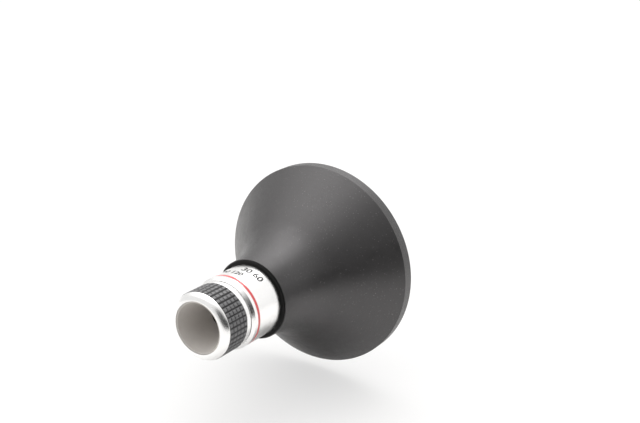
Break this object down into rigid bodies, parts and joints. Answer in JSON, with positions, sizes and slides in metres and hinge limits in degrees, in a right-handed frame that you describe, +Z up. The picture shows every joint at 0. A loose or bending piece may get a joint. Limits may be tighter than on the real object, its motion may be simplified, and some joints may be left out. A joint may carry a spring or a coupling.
{
  "type": "probe macro lens",
  "caption": "Trumpet-shaped black camera adapter with a screw thread at its wide end and a chromed low-power microscope objective with a knurled ring in its tip.",
  "frame": {"origin": "centre of the seating face at the back of the rim, on the optical axis", "axes": "+Y along the optical axis towards the camera, so the front looks along -Y; +Z up"},
  "size_m": [0.0716, 0.075, 0.0716],
  "materials": {
    "printed_black": "satin black, fine print layers",
    "anodised_black": "matte black anodised",
    "grip_black": "black anodised, rubbed on the studs",
    "anodised_grey": "matte warm grey",
    "steel": "ground",
    "brass": "turned",
    "satin_chrome": "satin chrome on brass",
    "red_enamel": "gloss enamel",
    "glass": "polished and coated"
  },
  "bodies": {
    "adapter": {"cone_body": "printed_black", "thread_ring": "anodised_black"},
    "shim": {"shim_ring": "steel"},
    "objective": {"body_tube": "brass", "outer_sleeve": "satin_chrome", "red_band": "red_enamel", "nose_sleeve": "satin_chrome", "grip_ring": "grip_black", "nose_ring": "satin_chrome", "front_baffle": "anodised_grey", "front_cell": "anodised_black", "front_flint": "glass", "front_crown": "glass", "front_retainer": "brass", "spacer_tube": "anodised_black", "aperture_stop": "anodised_black", "rear_cell": "anodised_black", "rear_flint": "glass", "rear_crown": "glass", "rear_retainer": "brass", "lock_ring": "brass"}
  },
  "joints": [
    {"name": "objective_advance", "type": "slide", "parent": "adapter", "child": "shim", "axis": [0, -1, 0], "range_m": [0, 0.0045]},
    {"name": "objective_turn", "type": "hinge", "parent": "shim", "child": "objective", "pos_m": [0, -0.04295, 0], "axis": [0, -1, 0], "range_deg": [0, 2296]}
  ],
  "couplings": [
    {"joint": "objective_advance", "follows": "objective_turn", "m_per_rad": 0.00011229}
  ]
}
